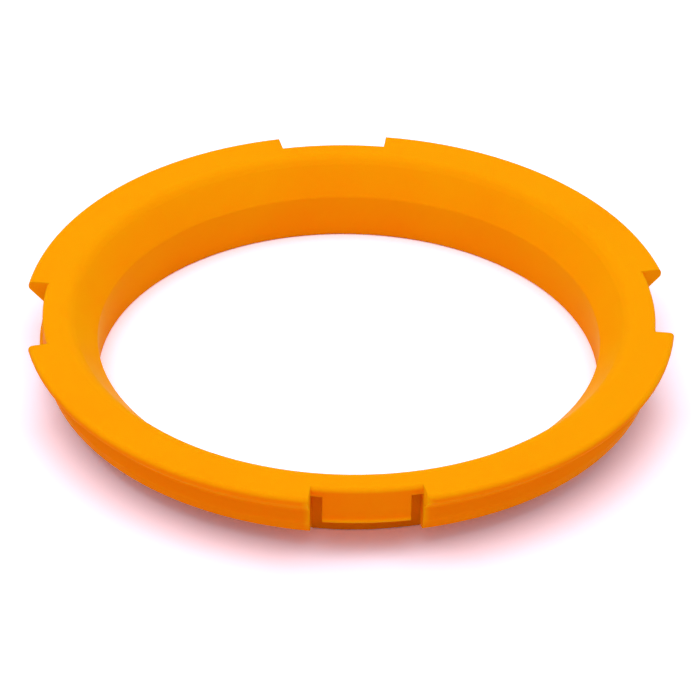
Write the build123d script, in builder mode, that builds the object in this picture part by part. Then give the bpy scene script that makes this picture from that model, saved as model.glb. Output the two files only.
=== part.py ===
from build123d import *
import os
from math import asin, cos, radians, sin, tan

# One-piece moulded hub centric ring. The bore centres on the hub, the sleeve
# centres in the wheel, and spring tongues in the sleeve hold the ring there.
# Millimetres, +Z up. The origin is on the axis, on the base the ring stands on.

# Fitting diameters, and how far the flange stands out past the sleeve
bore_diameter = 57.1
sleeve_diameter = 70.1
flange_reach = 1.85

# Heights and the sloping faces
ring_height = 8.95
funnel_depth = 3.65
funnel_angle = 41.0
flange_land = 0.9
seat_angle = 45.0
sleeve_end_height = 3.0
lead_in_height = 1.5
lead_in_depth = 0.5

# Thicknesses
wall = 1.5
roof = 1.1

# Edge roundings
rim_radius = 0.5
land_radius = 0.6
mouth_radius = 2.0
throat_radius = 0.3
root_radius = 0.8
edge_radius = 0.15

# Notches in the flange, with a spring tongue in each
notch_count = 4
notch_radius = 0.5
tongue_width = 9.6
slot_width = 1.35
tongue_recess = 0.3
nose_height = 4.9
nose_reach = 0.4
nose_flare = 0.55

# Sizes that follow from the ones above
bore_r = bore_diameter / 2
sleeve_r = sleeve_diameter / 2
flange_diameter = sleeve_diameter + 2 * flange_reach
flange_r = flange_diameter / 2
inner_wall_r = bore_r + wall
sleeve_inside_r = sleeve_r - wall
funnel_slope = tan(radians(funnel_angle))
mouth_r = bore_r + funnel_depth * funnel_slope
throat_height = ring_height - funnel_depth
roof_height = ring_height - roof
land_end_height = ring_height - flange_land
seat_end_height = land_end_height - flange_reach / tan(radians(seat_angle))
sleeve_tip_r = sleeve_r - lead_in_depth
notch_width = tongue_width + 2 * slot_width
notch_half_angle = asin(notch_width / 2 / sleeve_r)
tongue_r = sleeve_r - tongue_recess
tongue_end_height = nose_height - nose_reach

# Turned sections are drawn halfway between two notches
half_spacing = radians(180 / notch_count)
section_plane = Plane(
    (0, 0, 0),
    x_dir=(cos(half_spacing), sin(half_spacing), 0),
    z_dir=(sin(half_spacing), -cos(half_spacing), 0),
)

os.makedirs("parts", exist_ok=True)


def notch_sectors():
    # one wedge for each notch, from the axis out past the flange, the first towards -Y
    half_width = flange_diameter * tan(notch_half_angle)
    with PolarLocations(0, notch_count, start_angle=-90):
        Polygon((0, 0), (flange_diameter, -half_width), (flange_diameter, half_width), align=None)


def tongue_bars():
    # one bar for each tongue, from the axis out to the flange
    with PolarLocations(flange_r / 2, notch_count, start_angle=-90):
        Rectangle(flange_r, tongue_width)


# The hollow under the ring, between the inner wall and the sleeve. Its ceiling
# runs parallel to the funnel, one wall thickness below it, up to the roof.
funnel_under_r = bore_r + wall * cos(radians(funnel_angle))
funnel_under_height = throat_height - wall * sin(radians(funnel_angle))
with BuildSketch() as hollow:
    with Locations((inner_wall_r, 0)):
        Rectangle(sleeve_inside_r - inner_wall_r, roof_height, align=(Align.MIN, Align.MIN))
    with BuildLine():
        Polyline(
            (funnel_under_r - funnel_under_height * funnel_slope, 0),
            (funnel_under_r + ring_height * funnel_slope, funnel_under_height + ring_height),
            (funnel_under_r + ring_height * funnel_slope, 0),
            close=True,
        )
    make_face(mode=Mode.INTERSECT)

# What each notch takes off: the flange and the face of the sleeve, which leaves a rounded
# top edge on the roof, and the sleeve's wall below the roof
with BuildPart() as notch_cut:
    with BuildSketch(section_plane):
        with BuildLine():
            flat_end = (tongue_r - notch_radius, ring_height)
            wall_start = (tongue_r, ring_height - notch_radius)
            TangentArc(flat_end, wall_start, tangent=(1, 0))
            Polyline(
                wall_start,
                (tongue_r, roof_height),
                (sleeve_inside_r, roof_height),
                (sleeve_inside_r, -wall),
                (flange_r + wall, -wall),
                (flange_r + wall, ring_height + wall),
                (tongue_r - notch_radius, ring_height + wall),
                flat_end,
            )
        make_face()
    revolve(axis=Axis.Z)
    with BuildSketch(Plane.XY.offset(-ring_height)):
        notch_sectors()
    extrude(amount=3 * ring_height, mode=Mode.INTERSECT)

# The spring tongues, which hang from the roof. The nose on the end of each one is a
# flare down to its tip, then a lead-in.
with BuildPart() as tongues:
    with BuildSketch(section_plane):
        with BuildLine():
            flare_top = (tongue_r, nose_height + nose_flare)
            tip = (tongue_r + nose_reach, nose_height)
            TangentArc(flare_top, tip, tangent=(0, -1))
            Polyline(
                tip,
                (tongue_r, tongue_end_height),
                (sleeve_inside_r, tongue_end_height),
                (sleeve_inside_r, roof_height),
                (tongue_r, roof_height),
                flare_top,
            )
        make_face()
    revolve(axis=Axis.Z)
    with BuildSketch():
        tongue_bars()
    extrude(amount=ring_height, mode=Mode.INTERSECT)

with BuildPart() as hub_ring:
    # the turned section: inner wall, funnel, flange with its seat, and sleeve
    with BuildSketch(section_plane):
        with BuildLine():
            FilletPolyline(
                (bore_r, 0),
                (bore_r, throat_height),
                (mouth_r, ring_height),
                (flange_r, ring_height),
                (flange_r, land_end_height),
                (sleeve_r, seat_end_height),
                (sleeve_r, sleeve_end_height + lead_in_height),
                (sleeve_tip_r, sleeve_end_height),
                (inner_wall_r, sleeve_end_height),
                (inner_wall_r, 0),
                radius=[
                    edge_radius, throat_radius, mouth_radius, rim_radius, land_radius,
                    root_radius, 0, edge_radius, 0, edge_radius,
                ],
                close=True,
            )
        make_face()
        add(hollow.sketch, mode=Mode.SUBTRACT)
    revolve(axis=Axis.Z)
    add(notch_cut.part, mode=Mode.SUBTRACT)
    add(tongues.part)
hub_ring.part.label = "hub_ring"
export_step(hub_ring.part, "parts/hub_ring.step")
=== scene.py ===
import bpy
import math
from mathutils import Euler, Matrix, Vector


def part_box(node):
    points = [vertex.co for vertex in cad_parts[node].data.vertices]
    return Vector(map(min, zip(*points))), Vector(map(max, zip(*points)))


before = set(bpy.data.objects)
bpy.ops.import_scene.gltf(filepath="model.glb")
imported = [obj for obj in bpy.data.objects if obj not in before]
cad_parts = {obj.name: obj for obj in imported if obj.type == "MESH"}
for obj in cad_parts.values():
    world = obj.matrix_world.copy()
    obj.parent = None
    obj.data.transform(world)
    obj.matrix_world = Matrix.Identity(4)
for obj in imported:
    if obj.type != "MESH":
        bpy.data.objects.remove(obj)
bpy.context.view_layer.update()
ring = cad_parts["hub_ring"]
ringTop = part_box("hub_ring")[1].z
print("frame loaded, ring top at", round(ringTop, 4))


# small helpers for node trees

def newTree(name):
    mat = bpy.data.materials.new(name)
    mat.use_nodes = True
    mat.node_tree.nodes.clear()
    return mat, mat.node_tree.nodes, mat.node_tree.links


def noiseNode(nodes, links, coords, scale, detail):
    noise = nodes.new("ShaderNodeTexNoise")
    noise.inputs["Scale"].default_value = scale
    noise.inputs["Detail"].default_value = detail
    links.new(coords, noise.inputs["Vector"])
    return noise.outputs["Fac"]


def mapRange(nodes, links, value, low, high, start=0.0, end=1.0):
    ranged = nodes.new("ShaderNodeMapRange")
    ranged.inputs["From Min"].default_value = start
    ranged.inputs["From Max"].default_value = end
    ranged.inputs["To Min"].default_value = low
    ranged.inputs["To Max"].default_value = high
    links.new(value, ranged.inputs["Value"])
    return ranged.outputs["Result"]


def mathNode(nodes, links, operation, *values):
    node = nodes.new("ShaderNodeMath")
    node.operation = operation
    for value, socket in zip(values, node.inputs):
        links.new(value, socket)
    return node.outputs["Value"]


def vectorNode(nodes, links, operation, vector):
    node = nodes.new("ShaderNodeVectorMath")
    node.operation = operation
    links.new(vector, node.inputs[0])
    return node


def splitNode(nodes, links, vector):
    split = nodes.new("ShaderNodeSeparateXYZ")
    links.new(vector, split.inputs["Vector"])
    return split.outputs


# 1 for rays that are seen or mirrored, 0 for those that only carry light
def seenRays(nodes, links):
    rays = nodes.new("ShaderNodeLightPath")
    total = rays.outputs["Is Camera Ray"]
    for name in ("Is Glossy Ray", "Is Transmission Ray"):
        total = mathNode(nodes, links, "MAXIMUM", total, rays.outputs[name])
    return total


# orange plastic, satin as it comes from the mould, with painted shade and painted glow in its
# colour; lengths in metres
plastic = {
    "orange": (0.99, 0.345, 0.001),
    # the deeper orange is painted shade, on the walls and towards the base
    "paintedShadeOrange": (0.98, 0.215, 0.001),
    "baseShare": 0.3,               # how much of the lighter orange is left at the base, under the painted shade
    "throat": (0.02855, 0.0053),    # radius and height of the funnel's lower end
    "mouth": 0.03172,               # radius of its upper end
    "litSkin": (0.0002, 0.0006),       # painted shade in deep orange comes in this far under the rim and funnel
    "boreWall": (0.0288, 0.0296),   # but not in the bore, which ends at these radii
    "paintedGlowShare": 0.9,               # painted glow on the thin flange ends, for light coming through them, and painted highlight on the noses
    "notchAngle": 10.1,             # degrees from a notch's middle to its end
    "endFade": 1.264,               # degrees over which the painted glow at a flange end fades to deep orange
    "endFrom": (0.0346, 0.035),     # radii where the flange ends start
    "nose": (0.0348, 0.03508),      # radii where the noses start
    "cloudScale": 90.0,             # per metre, soft flow clouds in the colour
    "cloudDetail": 3.0,
    "cloudSpan": (0.3, 0.7),        # the part of the noise that is used
    "cloudShare": 0.12,
    "grainScale": 5200.0,           # fine mould grain
    "grainDetail": 2.0,
    "grainHeight": 0.00001,
    "waveScale": 260.0,             # slow unevenness of the surface
    "waveDetail": 1.0,
    "waveHeight": 0.00003,
    "edgeSoft": 0.0002,             # moulded edges are never quite sharp
    "edgeSamples": 8,
    "roughLow": 0.34,
    "roughHigh": 0.46,
    "ior": 1.5,
    "specular": 0.003,
    "glow": 0.45,                   # how much light goes into the plastic
    "glowDepth": (1.0, 0.4, 0.08),
    "glowScale": 0.0012,
}


# angle from the middle of the nearest notch, the same in all four quarters
def notchTurn(nodes, links, coords):
    quarter = splitNode(nodes, links, vectorNode(nodes, links, "ABSOLUTE", coords).outputs["Vector"])
    shorter = mathNode(nodes, links, "MINIMUM", quarter["X"], quarter["Y"])
    longer = mathNode(nodes, links, "MAXIMUM", quarter["X"], quarter["Y"])
    ratio = mathNode(nodes, links, "DIVIDE", shorter, longer)
    return mathNode(nodes, links, "ARCTANGENT", ratio)


# painted glow on the flange ends beside the notches, and painted highlight on the noses in them
def paintedGlowParts(nodes, links, coords, radius, p):
    turn = notchTurn(nodes, links, coords)
    end = math.radians(p["notchAngle"])
    fade = math.radians(p["endFade"])
    fromEnd = mapRange(nodes, links, turn, p["paintedGlowShare"], 0.0, end, end + fade)
    pastEnd = mapRange(nodes, links, turn, 0.0, 1.0, end - fade / 2, end)
    onFlange = mapRange(nodes, links, radius, 0.0, 1.0, *p["endFrom"])
    ends = mathNode(nodes, links, "MULTIPLY", fromEnd, pastEnd)
    ends = mathNode(nodes, links, "MULTIPLY", ends, onFlange)
    inNotch = mapRange(nodes, links, turn, 1.0, 0.0, end - fade / 2, end)
    onNose = mapRange(nodes, links, radius, 0.0, p["paintedGlowShare"], *p["nose"])
    noses = mathNode(nodes, links, "MULTIPLY", inNotch, onNose)
    return mathNode(nodes, links, "MAXIMUM", ends, noses)


# share of the lighter orange; painted shade makes it deeper towards the base and away from the lit
# rim and funnel
def orangeShare(nodes, links, coords, p):
    z = splitNode(nodes, links, coords)["Z"]
    flat = vectorNode(nodes, links, "MULTIPLY", coords)
    flat.inputs[1].default_value = (1, 1, 0)
    radius = vectorNode(nodes, links, "LENGTH", flat.outputs["Vector"]).outputs["Value"]

    throatRadius, throatHeight = p["throat"]
    # painted shade on faces below the lit rim and funnel surface, but not in the bore
    litSkin = mapRange(nodes, links, radius, throatHeight, ringTop, throatRadius, p["mouth"])
    under = mathNode(nodes, links, "SUBTRACT", litSkin, z)
    nearLitSkin = mapRange(nodes, links, under, 1.0, 0.0, *p["litSkin"])
    inBore = mapRange(nodes, links, radius, 1.0, 0.0, *p["boreWall"])
    lighter = mathNode(nodes, links, "MAXIMUM", nearLitSkin, inBore)
    # painted glow and painted highlight lighten the flange ends and noses
    lighter = mathNode(nodes, links, "MAXIMUM", lighter, paintedGlowParts(nodes, links, coords, radius, p))

    # painted shade, darker towards the base
    height = mapRange(nodes, links, z, p["baseShare"], 1.0, 0.0, ringTop)
    lighter = mathNode(nodes, links, "MINIMUM", height, lighter)
    clouds = noiseNode(nodes, links, coords, p["cloudScale"], p["cloudDetail"])
    drift = mapRange(nodes, links, clouds, -p["cloudShare"], p["cloudShare"], *p["cloudSpan"])
    return mathNode(nodes, links, "ADD", lighter, drift)


# soft edges, then slow waves, then fine grain
def mouldNormal(nodes, links, coords, grain, p):
    softEdge = nodes.new("ShaderNodeBevel")
    softEdge.samples = p["edgeSamples"]
    softEdge.inputs["Radius"].default_value = p["edgeSoft"]
    normal = softEdge.outputs["Normal"]
    wave = noiseNode(nodes, links, coords, p["waveScale"], p["waveDetail"])
    for height, distance in ((wave, p["waveHeight"]), (grain, p["grainHeight"])):
        bump = nodes.new("ShaderNodeBump")
        bump.inputs["Distance"].default_value = distance
        links.new(height, bump.inputs["Height"])
        links.new(normal, bump.inputs["Normal"])
        normal = bump.outputs["Normal"]
    return normal


def makePlastic(p):
    mat, nodes, links = newTree("orangePlastic")
    out = nodes.new("ShaderNodeOutputMaterial")
    shader = nodes.new("ShaderNodeBsdfPrincipled")
    links.new(shader.outputs["BSDF"], out.inputs["Surface"])
    coords = nodes.new("ShaderNodeTexCoord").outputs["Object"]

    # painted shade: the ramp runs from the deep shaded orange to the lit orange
    ramp = nodes.new("ShaderNodeValToRGB")
    ramp.color_ramp.elements[0].color = (*p["paintedShadeOrange"], 1)
    ramp.color_ramp.elements[1].color = (*p["orange"], 1)
    links.new(orangeShare(nodes, links, coords, p), ramp.inputs["Fac"])
    links.new(ramp.outputs["Color"], shader.inputs["Base Color"])

    grain = noiseNode(nodes, links, coords, p["grainScale"], p["grainDetail"])
    rough = mapRange(nodes, links, grain, p["roughLow"], p["roughHigh"])
    links.new(rough, shader.inputs["Roughness"])
    links.new(mouldNormal(nodes, links, coords, grain, p), shader.inputs["Normal"])

    shader.inputs["IOR"].default_value = p["ior"]
    shader.inputs["Specular IOR Level"].default_value = p["specular"]
    shader.inputs["Subsurface Weight"].default_value = p["glow"]
    shader.inputs["Subsurface Radius"].default_value = p["glowDepth"]
    shader.inputs["Subsurface Scale"].default_value = p["glowScale"]
    return mat


orangePlastic = makePlastic(plastic)
for slot in ring.material_slots:
    slot.material = orangePlastic
print("ring dressed,", len(ring.data.polygons), "faces")


# white studio table
table = {
    "size": 3.0,
    "drop": 0.00002,                # just clear of the ring's base
    "white": 0.95,
    "seen": (1.3, 1.24, 1.46),      # a touch overexposed, with a warm pink in the shade
    "fade": (0.1, 0.35),            # metres from the middle, turns into the white backdrop
}


def makePaper(t):
    mat, nodes, links = newTree("tablePaper")
    out = nodes.new("ShaderNodeOutputMaterial")
    seen = seenRays(nodes, links)
    tone = nodes.new("ShaderNodeMix")
    tone.data_type = "RGBA"
    tone.inputs["A"].default_value = (t["white"], t["white"], t["white"], 1)
    tone.inputs["B"].default_value = (*t["seen"], 1)
    links.new(seen, tone.inputs["Factor"])
    paper = nodes.new("ShaderNodeBsdfDiffuse")
    links.new(tone.outputs["Result"], paper.inputs["Color"])

    coords = nodes.new("ShaderNodeTexCoord").outputs["Object"]
    away = vectorNode(nodes, links, "LENGTH", coords).outputs["Value"]
    fade = mapRange(nodes, links, away, 0.0, 1.0, *t["fade"])
    backdrop = nodes.new("ShaderNodeEmission")
    backdrop.inputs["Color"].default_value = (1, 1, 1, 1)
    mix = nodes.new("ShaderNodeMixShader")
    links.new(mathNode(nodes, links, "MULTIPLY", fade, seen), mix.inputs["Fac"])
    links.new(paper.outputs["BSDF"], mix.inputs[1])
    links.new(backdrop.outputs["Emission"], mix.inputs[2])
    links.new(mix.outputs["Shader"], out.inputs["Surface"])
    return mat


def makeTable(t):
    half = t["size"] / 2
    mesh = bpy.data.meshes.new("table")
    corners = [(-half, -half, 0), (half, -half, 0), (half, half, 0), (-half, half, 0)]
    mesh.from_pydata(corners, [], [(0, 1, 2, 3)])
    mesh.materials.append(makePaper(t))
    floor = bpy.data.objects.new("table", mesh)
    floor.location.z = -t["drop"]
    bpy.context.scene.collection.objects.link(floor)


makeTable(table)
print("table laid")


# lights: a soft box overhead, and even light from the room
softBox = {"size": 0.9, "power": 4.2, "at": (-0.07, -0.04, 0.8)}
room = {"level": 0.57, "backdrop": 1.0}


def addSoftBox(s):
    data = bpy.data.lights.new("softBox", "AREA")
    data.shape = "SQUARE"
    data.size = s["size"]
    data.energy = s["power"]
    lamp = bpy.data.objects.new("softBox", data)
    lamp.location = s["at"]
    lamp.rotation_euler = (-Vector(s["at"])).to_track_quat("-Z", "Y").to_euler()
    bpy.context.scene.collection.objects.link(lamp)


def setRoom(r):
    world = bpy.data.worlds.new("room")
    world.use_nodes = True
    nodes, links = world.node_tree.nodes, world.node_tree.links
    nodes.clear()
    out = nodes.new("ShaderNodeOutputWorld")
    mix = nodes.new("ShaderNodeMixShader")
    links.new(seenRays(nodes, links), mix.inputs["Fac"])
    for strength, socket in ((r["level"], mix.inputs[1]), (r["backdrop"], mix.inputs[2])):
        background = nodes.new("ShaderNodeBackground")
        background.inputs["Color"].default_value = (1, 1, 1, 1)
        background.inputs["Strength"].default_value = strength
        links.new(background.outputs["Background"], socket)
    links.new(mix.outputs["Shader"], out.inputs["Surface"])
    bpy.context.scene.world = world


addSoftBox(softBox)
setRoom(room)
print("lights set")


# camera, placed round the middle of the ring's top face
shot = {
    "elevation": 34.3,              # degrees, like the next two
    "azimuth": -3.75,
    "roll": 0.98,
    "distance": 0.5104,
    "focalPixels": 4500.0,          # for a picture of the size below
    "pictureSize": 700.0,
    "topMiddle": (349.24, 307.0),   # pixel where the middle of the top face lands
    "sensor": 36.0,                 # millimetres
}


def addCamera(s):
    camData = bpy.data.cameras.new("shot")
    camData.sensor_width = s["sensor"]
    camData.lens = s["focalPixels"] * s["sensor"] / s["pictureSize"]
    cam = bpy.data.objects.new("shot", camData)
    half = s["pictureSize"] / 2
    down = math.atan((half - s["topMiddle"][1]) / s["focalPixels"])
    side = math.atan((half - s["topMiddle"][0]) / s["focalPixels"])
    turn = Euler((math.radians(90 - s["elevation"]), 0, math.radians(s["azimuth"]))).to_matrix()
    roll = Matrix.Rotation(math.radians(s["roll"]), 3, "Z")
    stand = turn @ Vector((0, 0, s["distance"])) + Vector((0, 0, ringTop))
    aim = turn @ roll @ Euler((-down, -side, 0)).to_matrix()
    cam.matrix_world = Matrix.Translation(stand) @ aim.to_4x4()
    bpy.context.scene.collection.objects.link(cam)
    bpy.context.scene.camera = cam


addCamera(shot)
bpy.context.scene.view_settings.view_transform = "Standard"
print("camera set")
